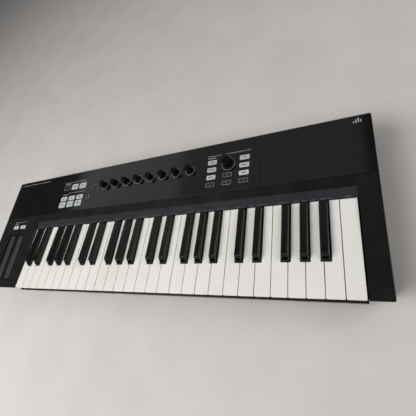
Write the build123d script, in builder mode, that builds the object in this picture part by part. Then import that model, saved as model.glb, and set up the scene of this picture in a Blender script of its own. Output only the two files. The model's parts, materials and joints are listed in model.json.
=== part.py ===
from build123d import *
import os
from math import atan2, cos, radians, sin

os.makedirs("parts", exist_ok=True)

# A 49-key MIDI keyboard controller. Millimetres, +X to the player's right,
# +Y to the rear, +Z up. Origin: under the middle of the case, on the desk.

# ---------------------------------------------------------------- dimensions
# Keys
WHITE_COUNT = 29
PITCH = 23.5                # spacing of the white keys
KEY_GAP = 1.0               # between two white keys
KEY_LENGTH = 137.0          # playing length of a white key
HEAD_LENGTH = 47.5          # wide front part of a white key
WHITE_TOP = 65.0            # playing surface above the desk
KEY_PLATE = 3.0             # top plate of a white key
KEY_WALL = 1.8              # side wall of a hollow key
KEY_SKIRT = 15.0            # depth of the side walls below the playing surface
LIP_HEIGHT = 3.5            # front lip
LIP_DEPTH = 12.0            # overhang of the front lip
BLACK_WIDTH = 11.4          # black key at the playing surface
BLACK_TOP_WIDTH = 8.8
BLACK_SLOT = 14.0           # gap that the white keys leave for a black key
BLACK_FRONT = 48.3          # from the key fronts to the foot of a black key
BLACK_SLOPE = 7.5           # run of its sloped front
BLACK_RISE = 10.5           # front top edge above the white keys
BLACK_REAR_RISE = 8.8
BLACK_LENGTH = 134.0        # from the key fronts to its rear end
BLACK_WALL = 2.0
BLACK_HOLLOW = 6.0          # top of its hollow above the playing surface
KEY_ROUND = 0.7             # top edges of a white key
KEY_CORNER = 1.4            # its front corners
BLACK_ROUND = 0.9           # top edges of a black key
# Offset of each black key from the line between its two white neighbours
BLACK_OFFSETS = {"c_sharp": (1, -2.0), "d_sharp": (2, 2.4), "f_sharp": (4, -3.2),
                 "g_sharp": (5, -0.3), "a_sharp": (6, 2.9)}
KEYS_PER_OCTAVE = 7
OCTAVES = 4

# Key pivot
PIVOT_BACK = 186.0          # from the key fronts to the pivot rod
KEY_TRAVEL = 3.1            # degrees that a key turns when it is pressed
PIVOT_DROP = 10.0           # rod below the playing surface
ROD_RADIUS = 1.5
ROD_CLEARANCE = 0.05        # running clearance in the keys
ROD_SEAT = 0.02             # clearance in the chassis ribs
TAIL_TOP = 5.5              # top of a key's tail below the playing surface
TAIL_REAR = 6.0             # tail behind the rod
TAIL_INSET = 1.2            # the tail is this much narrower on each side
TAIL_JOIN = 4.0             # solid stretch where the tail meets the key
CHASSIS_DROP = 26.0         # chassis plate below the playing surface
CHASSIS_THICK = 2.0
CHASSIS_FRONT = 10.0        # from the key fronts
CHASSIS_LEG_FRONT = 24.0
RIB_THICK = 2.0
RIB_FRONT = 10.0            # rib before and behind the rod
RIB_REAR = 10.0
RIB_ABOVE_ROD = 4.5
POST_CLEARANCE = 0.6        # guide post's top below the plate of a pressed key
POST_WIDTH = 6.0
POST_BACK = 25.0
POST_LENGTH = 10.0
CONTACT_BACK = 85.0         # contact board, from the key fronts
CONTACT_WIDTH = 44.0
DOME_RADIUS, DOME_HEIGHT, DOME_STEP = 4.0, 2.2, 10.0
SEAT_GAP = 0.05             # between pieces that sit on one another in one node

# Case
DEPTH = 273.0
LEFT_CHEEK = 127.5
RIGHT_CHEEK = 29.0
KEY_SETBACK = 1.0           # key fronts behind the case front
DECK_DROP = 0.5             # cheek front edge below the white keys
DECK_RISE = 10.5            # rise of the deck from front to rear
FRONT_LEAN = 16.0           # the front leans in by this much towards the floor
FOOT_HEIGHT = 4.0
SPLIT_Z = 34.0              # underside of the upper case
SEAM = 0.4                  # open seam between lower and upper case
WALL = 2.5
DECK_THICK = 3.0
SIDE_GAP = 1.4              # cheek wall to the end of the keyboard
CORNER = 3.0                # rounded vertical edges of the case
EDGE = 1.0                  # softened top edges
SLIP_TOP = 14.5             # key slip's top edge below the white keys
SLIP_FACE = 5.5             # height of its upright face
SLIP_THICK = 3.5
BOSS_RADIUS = 4.0
BOSS_MERGE = 0.5            # boss into the deck
BOSS_GAP = 0.3              # rear bosses in front of the rear wall
SCREW_RADIUS = 1.5
SCREW_HEAD_RADIUS = 3.0
SCREW_HEAD = 2.0
SCREW_LENGTH = 12.0
SCREW_CLEARANCE = 0.2
SCREW_FIT = 0.03
SCREW_SLOT = (3.2, 0.9)
SCREW_INSET = 14.0          # screws from the ends of the case and of the cheeks
SCREW_FRONT = 34.0          # front screws from the case front
FOOT_RADIUS = 10.0
FOOT_INSET = 45.0           # feet from the ends of the case
FOOT_FRONT, FOOT_REAR = 40.0, 26.0

# Panel and what stands behind the keys
PANEL_FRONT = 170.5         # from the key fronts to the panel's front edge
PANEL_THICK = 3.0
PANEL_PROUD = 1.0           # panel above the deck
PANEL_RIM = 2.0             # deck rim left and right of the panel and behind it
PANEL_GAP = 0.2
LEDGE = 6.0                 # deck ledge that the panel rests on
GROOVE_X = 544.0            # groove that ends the control field
GROOVE_WIDTH = 1.2
GROOVE_DEPTH = 0.8
GROOVE_V = (2.5, 86.0)      # its ends, back from the panel's front edge
PANEL_EDGE = 0.5
GUIDE_FRONT = 137.6         # light guide, from the key fronts
GUIDE_REAR = 153.5
GUIDE_FRONT_RISE = 0.7      # above the white keys
GUIDE_REAR_RISE = 3.3
GUIDE_THICK = 2.0
FASCIA_THICK = 2.2
GUIDE_OVERHANG = 3.5        # guide's front edge in front of its ledge
TUCK = 0.01                 # fascia below the deck under the panel

# Controls: X from the left end of the keyboard, V back from the panel's front edge
KNOB_COUNT = 8
KNOB_X = 193.0
KNOB_PITCH = 30.6
KNOB_V = 52.3
KNOB_RADIUS = 7.75
KNOB_HEIGHT = 12.0
DIAL_X = 484.6
DIAL_V = 53.3
DIAL_RADIUS = 10.5
DIAL_HEIGHT = 13.0
KNOB_LIFT = 0.8             # knob above the panel
SHAFT_RADIUS = 3.0
SHAFT_CLEARANCE = 0.05
BUSHING_RADIUS = 3.7
BUSHING_GAP = 0.25
ENCODER_SIZE = 12.0
BOARD_DEPTH = 8.5           # board face below the panel's top face
BOARD_THICK = 1.6
BOARD_X = (44.0, 540.0)     # from the left end of the keyboard
BOARD_V = (10.0, 73.0)      # back from the panel's front edge
HANGERS = [(50.0, 40.0), (208.0, 16.0), (330.0, 16.0), (330.0, 68.0), (432.0, 16.0), (534.0, 40.0)]
HANGER_RADIUS = 3.0
BUSHING_TOP = 2.0           # bushing above the panel
KNOB_WALL_GAP = 0.5         # knob's recess around the bushing
KNOB_ROUND = 0.8
SHAFT_END = 1.5             # shaft's end above the board
SWITCH_SIZE = 6.0
ENCODER_HEIGHT = 4.5
BUTTON_GAP = 0.35           # around each button in its window
BUTTON_PROUD = 1.2
BUTTON_TRAVEL = 1.2
BUTTON_CORNER = 1.6
MAT_THICK = 1.2
MAT_GAP = 0.2               # mat below the panel at rest
MAT_MARGIN = 1.5
SWITCH_HEIGHT = 2.2
BUTTON_ROUND = 0.3
OCTAVE_BOARD_DEPTH = 9.0    # its board below the deck
OCTAVE_HANGER = 28.0        # hangers left and right of the middle

LEFT_COLUMNS = [71.5, 97.0, 122.5]
MODE_V, MODE_SIZE = 61.8, (20.2, 13.6)
RECORD_V, RECORD_SIZE = 32.9, (19.6, 10.4)
PLAY_V, PLAY_SIZE = 17.7, (20.0, 14.2)
PAGE_X, PAGE_V, PAGE_PITCH, PAGE_SIZE = 167.4, 53.2, 14.8, (10.5, 9.5)
PRESET_X, PRESET_V, PRESET_SIZE = 150.5, 25.5, (10.0, 5.0)
RIGHT_COLUMNS = [453.2, DIAL_X, 514.8]
RIGHT_V, RIGHT_ROW_PITCH = 14.8, 15.25
RIGHT_SIZE = (17.6, 8.6)
OCTAVE_X, OCTAVE_PITCH, OCTAVE_BACK, OCTAVE_SIZE = -63.8, 26.5, 143.0, (18.5, 8.6)

# Touch strips on the left cheek
STRIP_CENTRES = [-78.0, -48.0]
STRIP_WIDTH = 15.5
STRIP_FRONT = 20.0
STRIP_LENGTH = 101.0
RECESS_MARGIN = (7.2, 4.0)  # beside and beyond the strips
RECESS_DEPTH = 2.2
STRIP_SINK = 0.8            # strip faces below the deck
STRIP_FLOOR = 1.6

# Rear sockets: X from the case's middle, hole radius or size
SOCKET_Z = 52.0             # middle of the sockets above the desk
SOCKET_SINK = 0.3           # socket faces below the rear wall's face
SOCKET_CLEARANCE = 0.2
DIN_PLACES, DIN_RADIUS, DIN_BODY = [250.0, 285.0], 8.5, 20.0
DIN_BORE, DIN_BORE_DEPTH, DIN_RING = 7.0, 8.0, 1.2
JACK_PLACES, JACK_BORE, JACK_RADIUS, JACK_BODY = [175.0, 200.0], 3.25, 5.5, 14.0
JACK_BORE_DEPTH = 24.0
USB_X, USB_SIZE, USB_BORE, USB_BODY = 318.0, (13.0, 12.0), (9.0, 8.4), 15.0
USB_BORE_DEPTH, USB_TONGUE = 9.0, (5.6, 3.2)
DC_X, DC_RADIUS, DC_BORE, DC_BODY = 345.0, 5.0, 3.2, 12.0
DC_BORE_DEPTH, DC_PIN = 9.0, 1.0
SWITCH_X, SWITCH_OPENING, SWITCH_GAP = 374.0, (19.0, 13.0), 0.3
SWITCH_DEPTH, SWITCH_WALL = 12.0, 1.2
SOCKET_DEPTH = 14.0
SOCKET_BOARD_X, SOCKET_BOARD_WIDTH = (162.0, 390.0), 32.0
ROCKER_TILT = 8.0           # degrees, rocker at rest in its off position
ROCKER_THICK, ROCKER_GAP, ROCKER_ROUND = 5.0, 0.9, 1.0
ROCKER_SINK = 1.3           # middle of the rocker's face below the sockets' faces
PIN_RADIUS, PIN_CLEARANCE = 1.0, 0.05
PIN_REACH = 0.8             # the rocker's pins in the frame
PIN_HOLE = 1.1              # depth of their holes

# ---------------------------------------------------------------- derived
KEYBOARD = WHITE_COUNT * PITCH
WIDTH = LEFT_CHEEK + KEYBOARD + RIGHT_CHEEK
X_LEFT, X_RIGHT = -WIDTH / 2, WIDTH / 2
KEYS_X0 = X_LEFT + LEFT_CHEEK
KEYS_X1 = KEYS_X0 + KEYBOARD
Y_FRONT, Y_REAR = -DEPTH / 2, DEPTH / 2
KEYS_Y0 = Y_FRONT + KEY_SETBACK
DECK_FRONT_Z = WHITE_TOP - DECK_DROP
FLOOR_Z = FOOT_HEIGHT + WALL
PIVOT_Y = KEYS_Y0 + PIVOT_BACK
PIVOT_Z = WHITE_TOP - PIVOT_DROP
PANEL_Y = KEYS_Y0 + PANEL_FRONT
TILT = atan2(DECK_RISE, DEPTH)
SLIP_TOP_Z = WHITE_TOP - SLIP_TOP
SEAM_Z = SPLIT_Z - SEAM


def deck_z(y):
    """Height of the sloping deck at y."""
    return DECK_FRONT_Z + (y - Y_FRONT) * DECK_RISE / DEPTH


def front_y(z):
    """Front face of the case at height z: it leans in towards the floor."""
    return Y_FRONT + FRONT_LEAN * (DECK_FRONT_Z - z) / (DECK_FRONT_Z - FOOT_HEIGHT)


def deck_plane(y, lift=0.0):
    """Plane parallel to the deck, its origin above the deck at y, local Y to the rear."""
    normal = (0, -sin(TILT), cos(TILT))
    base = Plane(origin=(0, y, deck_z(y)), x_dir=(1, 0, 0), z_dir=normal)
    return base.offset(lift)


def upright(x0, x1, y0, y1, z0, z1, mode=Mode.ADD):
    """Block between two corners."""
    with Locations(((x0 + x1) / 2, (y0 + y1) / 2, (z0 + z1) / 2)):
        Box(x1 - x0, y1 - y0, z1 - z0, mode=mode)


def across(points, x0, x1, mode=Mode.ADD):
    """Side profile, given as (y, z) points, carried from x0 to x1."""
    with BuildSketch(Plane.YZ.offset(x0)) as profile:
        with BuildLine():
            Polyline(*points, close=True)
        make_face()
    extrude(profile.sketch, amount=x1 - x0, mode=mode)


def save(part, name):
    part.label = name
    export_step(part, f"parts/{name}.step")


# Buttons: (x, v, (width, height)) on the panel, x already in the model frame
def on_panel(x, v, size):
    return (KEYS_X0 + x, v, size)


function_buttons = []
for v, size in [(MODE_V, MODE_SIZE), (RECORD_V, RECORD_SIZE), (PLAY_V, PLAY_SIZE)]:
    function_buttons += [on_panel(x, v, size) for x in LEFT_COLUMNS]
function_buttons += [on_panel(PAGE_X + side * PAGE_PITCH / 2, PAGE_V, PAGE_SIZE) for side in (-1, 1)]
function_buttons += [on_panel(PRESET_X, PRESET_V, PRESET_SIZE)]

right_rows = [RIGHT_V + row * RIGHT_ROW_PITCH for row in range(4)]
transport_buttons = [on_panel(x, v, RIGHT_SIZE)
                     for x in (RIGHT_COLUMNS[0], RIGHT_COLUMNS[2]) for v in right_rows[1:]]
navigation_buttons = [on_panel(x, right_rows[0], RIGHT_SIZE) for x in RIGHT_COLUMNS]
navigation_buttons += [on_panel(RIGHT_COLUMNS[1], right_rows[1], RIGHT_SIZE)]
panel_buttons = function_buttons + transport_buttons + navigation_buttons
octave_buttons = [(KEYS_X0 + OCTAVE_X + side * OCTAVE_PITCH / 2, 0.0, OCTAVE_SIZE) for side in (-1, 1)]

knobs = [(KEYS_X0 + KNOB_X + i * KNOB_PITCH, KNOB_V, KNOB_RADIUS, KNOB_HEIGHT) for i in range(KNOB_COUNT)]
dial = (KEYS_X0 + DIAL_X, DIAL_V, DIAL_RADIUS, DIAL_HEIGHT)

panel_top = deck_plane(PANEL_Y, PANEL_PROUD)
PANEL_LENGTH = (Y_REAR - PANEL_RIM - PANEL_Y) / cos(TILT)
octave_deck = deck_plane(KEYS_Y0 + OCTAVE_BACK)
octave_middle = KEYS_X0 + OCTAVE_X
rear_plane = Plane(origin=(0, Y_REAR + 1, SOCKET_Z), x_dir=(1, 0, 0), z_dir=(0, -1, 0))
STANDING = (Align.CENTER, Align.CENTER, Align.MIN)
HANGING = (Align.CENTER, Align.CENTER, Align.MAX)
BOSS_Z = FLOOR_Z + SCREW_HEAD

# Places of the case screws: two rows in the cheeks, one behind the keys
rear_row = Y_REAR - WALL - BOSS_RADIUS - BOSS_GAP
screw_places = [(x, Y_FRONT + SCREW_FRONT)
                for x in (X_LEFT + SCREW_INSET, KEYS_X0 - SCREW_INSET, X_RIGHT - SCREW_INSET)]
screw_places += [(x, rear_row)
                 for x in (X_LEFT + SCREW_INSET, KEYS_X0 + KEYBOARD / 4, KEYS_X0 + KEYBOARD * 5 / 8,
                           X_RIGHT - SCREW_INSET)]
foot_places = [(x, y) for x in (X_LEFT + FOOT_INSET, X_RIGHT - FOOT_INSET)
               for y in (Y_FRONT + FOOT_FRONT, Y_REAR - FOOT_REAR)]

# ---------------------------------------------------------------- lower case
with BuildPart() as bottom_case:
    across([(front_y(FOOT_HEIGHT), FOOT_HEIGHT), (front_y(SEAM_Z), SEAM_Z),
            (Y_REAR, SEAM_Z), (Y_REAR, FOOT_HEIGHT)], X_LEFT, X_RIGHT)
    upright_edges = bottom_case.edges().filter_by(lambda e: abs(e.tangent_at(0.5).X) < 0.1
                                                  and abs(e.tangent_at(0.5).Z) > 0.5)
    fillet(upright_edges, CORNER)
    across([(front_y(FLOOR_Z) + WALL, FLOOR_Z), (front_y(SEAM_Z) + WALL, SEAM_Z),
            (Y_REAR - WALL, SEAM_Z), (Y_REAR - WALL, FLOOR_Z)],
           X_LEFT + WALL, X_RIGHT - WALL, Mode.SUBTRACT)
    # Key slip: rises in front of the keys to just under their lips
    slip_foot = SLIP_TOP_Z - SLIP_FACE
    across([(Y_FRONT, SLIP_TOP_Z), (Y_FRONT, slip_foot), (front_y(slip_foot), slip_foot),
            (front_y(SEAM_Z), SEAM_Z), (front_y(SEAM_Z) + WALL, SEAM_Z),
            (front_y(slip_foot) + WALL, slip_foot + WALL), (Y_FRONT + SLIP_THICK, slip_foot + WALL),
            (Y_FRONT + SLIP_THICK, SLIP_TOP_Z)],
           KEYS_X0 - SIDE_GAP + KEY_GAP / 2, KEYS_X1 + SIDE_GAP - KEY_GAP / 2)
    # Posts under the board of the rear sockets
    post_top = SOCKET_Z - DIN_BODY / 2 - BOARD_THICK
    for x in (SOCKET_BOARD_X[0] + 2 * HANGER_RADIUS, SOCKET_BOARD_X[1] - 2 * HANGER_RADIUS):
        for from_wall in (2 * HANGER_RADIUS, SOCKET_BOARD_WIDTH - 2 * HANGER_RADIUS):
            with Locations((x, Y_REAR - WALL - from_wall, FLOOR_Z - WALL / 2)):
                Cylinder(HANGER_RADIUS, post_top - FLOOR_Z + WALL / 2, align=STANDING)
    # Screw holes with sunk heads
    with BuildSketch(Plane.XY.offset(FOOT_HEIGHT)):
        with Locations(*screw_places):
            Circle(SCREW_HEAD_RADIUS + 2)
    extrude(amount=SCREW_HEAD + WALL)
    with Locations(*[(x, y, FOOT_HEIGHT) for x, y in screw_places]):
        Cylinder(SCREW_HEAD_RADIUS + SCREW_CLEARANCE, SCREW_HEAD + SCREW_CLEARANCE,
                 align=STANDING, mode=Mode.SUBTRACT)
        Cylinder(SCREW_RADIUS + SCREW_CLEARANCE, SCREW_HEAD + WALL + 1,
                 align=STANDING, mode=Mode.SUBTRACT)
save(bottom_case.part, "bottom_case")

# ---------------------------------------------------------------- upper case and its cheeks
CHEEK_WALL_LEFT = KEYS_X0 - SIDE_GAP - WALL
CHEEK_WALL_RIGHT = KEYS_X1 + SIDE_GAP + WALL
inner_front = [(front_y(SPLIT_Z) + WALL, SPLIT_Z), (Y_FRONT + WALL + 1, deck_z(Y_FRONT) - DECK_THICK)]
inner_rear = [(Y_REAR - WALL, deck_z(Y_REAR) - DECK_THICK), (Y_REAR - WALL, SPLIT_Z)]
BAY_REAR = PANEL_Y + WALL
with BuildPart() as upper_shell:
    across([(front_y(SPLIT_Z), SPLIT_Z), (Y_FRONT, DECK_FRONT_Z), (Y_REAR, deck_z(Y_REAR)),
            (Y_REAR, SPLIT_Z)], X_LEFT, X_RIGHT)
    upright_edges = upper_shell.edges().filter_by(lambda e: abs(e.tangent_at(0.5).X) < 0.1
                                               and abs(e.tangent_at(0.5).Z) > 0.5)
    fillet(upright_edges, CORNER)
    top_outline = upper_shell.faces().sort_by(Axis.Z)[-1].outer_wire().edges()
    fillet(top_outline, EDGE)
    across(inner_front + inner_rear, X_LEFT + WALL, CHEEK_WALL_LEFT, Mode.SUBTRACT)
    across(inner_front + inner_rear, CHEEK_WALL_RIGHT, X_RIGHT - WALL, Mode.SUBTRACT)
    across([(BAY_REAR, SPLIT_Z), (BAY_REAR, deck_z(BAY_REAR) - DECK_THICK)] + inner_rear,
           X_LEFT + WALL, X_RIGHT - WALL, Mode.SUBTRACT)
    # Key bay, open to the front and below
    upright(KEYS_X0 - SIDE_GAP, KEYS_X1 + SIDE_GAP, Y_FRONT - 1, BAY_REAR,
            SPLIT_Z - 1, WHITE_TOP + DECK_RISE, Mode.SUBTRACT)
    # Fascia behind the keys, with the ledge that carries the light guide
    guide_slope = (GUIDE_REAR_RISE - GUIDE_FRONT_RISE) / (GUIDE_REAR - GUIDE_FRONT)
    ledge_y = KEYS_Y0 + GUIDE_FRONT + GUIDE_OVERHANG
    ledge_z = WHITE_TOP + GUIDE_FRONT_RISE + guide_slope * GUIDE_OVERHANG - GUIDE_THICK
    seat_y = KEYS_Y0 + GUIDE_REAR
    seat_z = WHITE_TOP + GUIDE_REAR_RISE - GUIDE_THICK
    across([(ledge_y, ledge_z), (seat_y, seat_z), (seat_y, seat_z + GUIDE_THICK),
            (PANEL_Y, deck_z(PANEL_Y)), (BAY_REAR, deck_z(BAY_REAR) - TUCK),
            (BAY_REAR, deck_z(BAY_REAR) - DECK_THICK),
            (seat_y + FASCIA_THICK, seat_z + GUIDE_THICK - DECK_THICK),
            (ledge_y, ledge_z - FASCIA_THICK / 2)],
           CHEEK_WALL_LEFT + WALL / 2, CHEEK_WALL_RIGHT - WALL / 2)
    # Seat of the panel, and the opening under it
    panel_x = (X_RIGHT - X_LEFT) - 2 * PANEL_RIM
    with BuildSketch(deck_plane(PANEL_Y)):
        with Locations((0, PANEL_LENGTH / 2)):
            Rectangle(panel_x, PANEL_LENGTH)
    extrude(amount=-(PANEL_THICK - PANEL_PROUD), mode=Mode.SUBTRACT)
    with BuildSketch(deck_plane(PANEL_Y)):
        with Locations((0, PANEL_LENGTH / 2)):
            Rectangle(panel_x - 2 * LEDGE, PANEL_LENGTH - 2 * LEDGE)
    extrude(amount=-DECK_THICK - 1, mode=Mode.SUBTRACT)
    # Windows of the octave buttons
    with BuildSketch(octave_deck):
        for x, v, (width, height) in octave_buttons:
            with Locations((x, v)):
                RectangleRounded(width + 2 * BUTTON_GAP, height + 2 * BUTTON_GAP, BUTTON_CORNER)
    extrude(amount=-DECK_THICK - 1, mode=Mode.SUBTRACT)
    # Recess of the touch strips, with a floor under it
    strips_middle = KEYS_X0 + sum(STRIP_CENTRES) / 2
    strips_span = STRIP_CENTRES[1] - STRIP_CENTRES[0] + STRIP_WIDTH
    strip_deck = deck_plane(KEYS_Y0 + STRIP_FRONT + STRIP_LENGTH / 2)
    recess_size = (strips_span + 2 * RECESS_MARGIN[0], STRIP_LENGTH + 2 * RECESS_MARGIN[1])
    with BuildSketch(strip_deck.offset(-RECESS_DEPTH - STRIP_FLOOR)):
        with Locations((strips_middle, 0)):
            Rectangle(recess_size[0] + 2 * WALL, recess_size[1] + 2 * WALL)
    extrude(amount=STRIP_FLOOR + RECESS_DEPTH / 2)
    with BuildSketch(strip_deck.offset(-RECESS_DEPTH)):
        with Locations((strips_middle, 0)):
            RectangleRounded(*recess_size, BUTTON_CORNER)
    extrude(amount=RECESS_DEPTH + 1, mode=Mode.SUBTRACT)
    # Screw bosses from the deck down to the lower case
    for x, y in screw_places:
        boss_height = deck_z(y) - DECK_THICK + BOSS_MERGE - BOSS_Z
        with Locations((x, y, BOSS_Z)):
            Cylinder(BOSS_RADIUS, boss_height, align=STANDING)
            Cylinder(SCREW_RADIUS, SCREW_LENGTH, align=STANDING, mode=Mode.SUBTRACT)
    # Hangers of the octave board
    for side in (-1, 1):
        hanger_place = Location((octave_middle + side * OCTAVE_HANGER, 0, -DECK_THICK))
        with Locations(octave_deck.location * hanger_place):
            Cylinder(HANGER_RADIUS, OCTAVE_BOARD_DEPTH - DECK_THICK, align=HANGING)
    # Rear openings for the sockets
    with BuildSketch(rear_plane):
        with Locations(*[(x, 0) for x in DIN_PLACES]):
            Circle(DIN_RADIUS)
        with Locations(*[(x, 0) for x in JACK_PLACES]):
            Circle(JACK_RADIUS)
        with Locations((USB_X, 0)):
            Rectangle(*USB_SIZE)
        with Locations((DC_X, 0)):
            Circle(DC_RADIUS)
        with Locations((SWITCH_X, 0)):
            Rectangle(*SWITCH_OPENING)
    extrude(amount=WALL + 2, mode=Mode.SUBTRACT)

# The cheeks end at the front edge of the panel
cheek_top = deck_z(Y_REAR) + 1
cheek_blocks = [(X_LEFT - 1, KEYS_X0 - SIDE_GAP), (KEYS_X1 + SIDE_GAP, X_RIGHT + 1)]
with BuildPart() as end_cheeks:
    for x0, x1 in cheek_blocks:
        upright(x0, x1, Y_FRONT - 1, PANEL_Y, 0, cheek_top)
    add(upper_shell.part, mode=Mode.INTERSECT)
save(end_cheeks.part, "end_cheeks")

with BuildPart() as top_case:
    add(upper_shell.part)
    for x0, x1 in cheek_blocks:
        upright(x0, x1, Y_FRONT - 1, PANEL_Y, 0, cheek_top, Mode.SUBTRACT)
save(top_case.part, "top_case")

# ---------------------------------------------------------------- control panel
board_edges = (KEYS_X0 + BOARD_X[0], KEYS_X0 + BOARD_X[1], BOARD_V[0], BOARD_V[1])
panel_under = panel_top.offset(-PANEL_THICK)
with BuildPart() as control_panel:
    with BuildSketch(panel_top):
        with Locations((0, (PANEL_LENGTH - PANEL_GAP) / 2)):
            Rectangle(panel_x - 2 * PANEL_GAP, PANEL_LENGTH - PANEL_GAP)
    extrude(amount=-PANEL_THICK)
    fillet(control_panel.faces().sort_by(Axis.Z)[-1].edges(), PANEL_EDGE)
    with BuildSketch(panel_top):
        for x, v, radius, height in knobs + [dial]:
            with Locations((x, v)):
                Circle(BUSHING_RADIUS + BUSHING_GAP)
        for x, v, (width, height) in panel_buttons:
            with Locations((x, v)):
                RectangleRounded(width + 2 * BUTTON_GAP, height + 2 * BUTTON_GAP, BUTTON_CORNER)
    extrude(amount=-PANEL_THICK - 1, mode=Mode.SUBTRACT)
    with BuildSketch(panel_top):
        with Locations((KEYS_X0 + GROOVE_X, GROOVE_V[0])):
            Rectangle(GROOVE_WIDTH, GROOVE_V[1] - GROOVE_V[0], align=(Align.CENTER, Align.MIN))
    extrude(amount=-GROOVE_DEPTH, mode=Mode.SUBTRACT)
    # Hangers that hold the board
    with BuildSketch(panel_under):
        with Locations(*[(KEYS_X0 + x, v) for x, v in HANGERS]):
            Circle(HANGER_RADIUS)
    extrude(amount=-(BOARD_DEPTH - PANEL_THICK))
save(control_panel.part, "control_panel")

# ---------------------------------------------------------------- light guide
with BuildPart() as light_guide:
    guide_y = KEYS_Y0 + GUIDE_FRONT
    guide_z = WHITE_TOP + GUIDE_FRONT_RISE
    guide_end = (seat_y - PANEL_GAP, seat_z + GUIDE_THICK)
    across([(guide_y, guide_z), guide_end, (guide_end[0], seat_z), (guide_y, guide_z - GUIDE_THICK)],
           KEYS_X0 - SIDE_GAP + PANEL_GAP, KEYS_X1 + SIDE_GAP - PANEL_GAP)
save(light_guide.part, "light_guide")

# ---------------------------------------------------------------- keybed
PLATE_Z = WHITE_TOP - CHASSIS_DROP
key_fences = [index for index in range(WHITE_COUNT + 1) if index % KEYS_PER_OCTAVE in (0, 3)]
if WHITE_COUNT not in key_fences:
    key_fences.append(WHITE_COUNT)
with BuildPart() as key_chassis:
    chassis_x0, chassis_x1 = KEYS_X0 - RIB_THICK / 2, KEYS_X1 + RIB_THICK / 2
    upright(chassis_x0, chassis_x1, KEYS_Y0 + CHASSIS_FRONT, PIVOT_Y + RIB_REAR,
            PLATE_Z - CHASSIS_THICK, PLATE_Z)
    for leg_y in (KEYS_Y0 + CHASSIS_LEG_FRONT, PIVOT_Y):
        upright(chassis_x0, chassis_x1, leg_y, leg_y + WALL, FLOOR_Z, PLATE_Z - CHASSIS_THICK / 2)
    # Ribs that hold the rod, in the wider gaps between two white keys
    for fence in key_fences:
        rib_x = KEYS_X0 + fence * PITCH
        upright(rib_x - RIB_THICK / 2, rib_x + RIB_THICK / 2, PIVOT_Y - RIB_FRONT, PIVOT_Y + RIB_REAR,
                PLATE_Z - CHASSIS_THICK / 2, PIVOT_Z + RIB_ABOVE_ROD)
    with Locations(Location((0, PIVOT_Y, PIVOT_Z), (0, 90, 0))):
        Cylinder(ROD_RADIUS + ROD_SEAT, KEYBOARD + PITCH, mode=Mode.SUBTRACT)
    # Guide posts that stand inside the white keys
    post_z = WHITE_TOP - KEY_PLATE - (PIVOT_BACK - POST_BACK) * sin(radians(KEY_TRAVEL)) - POST_CLEARANCE
    for index in range(WHITE_COUNT):
        post_x = KEYS_X0 + (index + 0.5) * PITCH
        upright(post_x - POST_WIDTH / 2, post_x + POST_WIDTH / 2, KEYS_Y0 + POST_BACK,
                KEYS_Y0 + POST_BACK + POST_LENGTH, PLATE_Z - CHASSIS_THICK / 2, post_z)
save(key_chassis.part, "key_chassis")

with BuildPart() as pivot_rod:
    with Locations(Location((0, PIVOT_Y, PIVOT_Z), (0, 90, 0))):
        Cylinder(ROD_RADIUS, KEYBOARD + SIDE_GAP)
    chamfer(pivot_rod.edges().filter_by(GeomType.CIRCLE), ROD_RADIUS / 5)
save(pivot_rod.part, "pivot_rod")


def black_x(name, octave):
    """Middle of a black key."""
    line, offset = BLACK_OFFSETS[name]
    return KEYS_X0 + (octave * KEYS_PER_OCTAVE + line) * PITCH + offset


def key_tail(x0, x1):
    """Solid tail of a key from its playing part back to the rod, with the rod's bore."""
    upright(x0 + TAIL_INSET, x1 - TAIL_INSET, KEYS_Y0 + BLACK_LENGTH - TAIL_JOIN, PIVOT_Y + TAIL_REAR,
            WHITE_TOP - KEY_SKIRT, WHITE_TOP - TAIL_TOP)
    with Locations(Location(((x0 + x1) / 2, PIVOT_Y, PIVOT_Z), (0, 90, 0))):
        Cylinder(ROD_RADIUS + ROD_CLEARANCE, PITCH, mode=Mode.SUBTRACT)


def white_edges(index):
    """Left and right edge of a white key's head, then of its tail between the black keys."""
    octave, step = divmod(index, KEYS_PER_OCTAVE)
    head = (KEYS_X0 + index * PITCH + KEY_GAP / 2, KEYS_X0 + (index + 1) * PITCH - KEY_GAP / 2)
    tail = list(head)
    for name, (line, offset) in BLACK_OFFSETS.items():
        if octave < OCTAVES and line == step:
            tail[0] = black_x(name, octave) + BLACK_SLOT / 2
        if octave < OCTAVES and line == step + 1:
            tail[1] = black_x(name, octave) - BLACK_SLOT / 2
    return head, tail


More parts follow.
